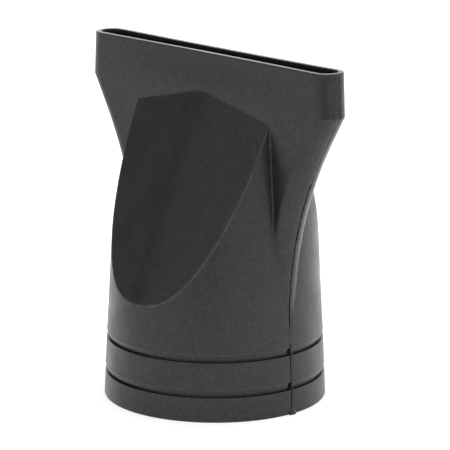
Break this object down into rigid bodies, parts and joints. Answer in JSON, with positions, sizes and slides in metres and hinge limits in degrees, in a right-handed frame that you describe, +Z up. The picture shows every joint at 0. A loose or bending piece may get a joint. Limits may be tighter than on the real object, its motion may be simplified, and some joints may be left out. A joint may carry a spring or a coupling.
{
  "type": "hair dryer concentrator nozzle",
  "caption": "Slip-on flat concentrator nozzle for a hand-held hair dryer: a round socket that turns into a wide thin air slot, in matt black plastic.",
  "frame": {"origin": "centre of the socket's rim, on the plane the nozzle stands on", "axes": "+Z up from the socket to the air slot, X along the slot, -Y towards the front shell"},
  "size_m": [0.0792, 0.051, 0.08],
  "materials": {
    "shell_plastic": "fine-grained matt moulded surface",
    "weld_plastic": "ragged re-set plastic along the seam"
  },
  "bodies": {
    "root": {"front_shell": "shell_plastic", "rear_shell": "shell_plastic", "weld_bead_right": "weld_plastic", "weld_bead_left": "weld_plastic"}
  },
  "joints": []
}
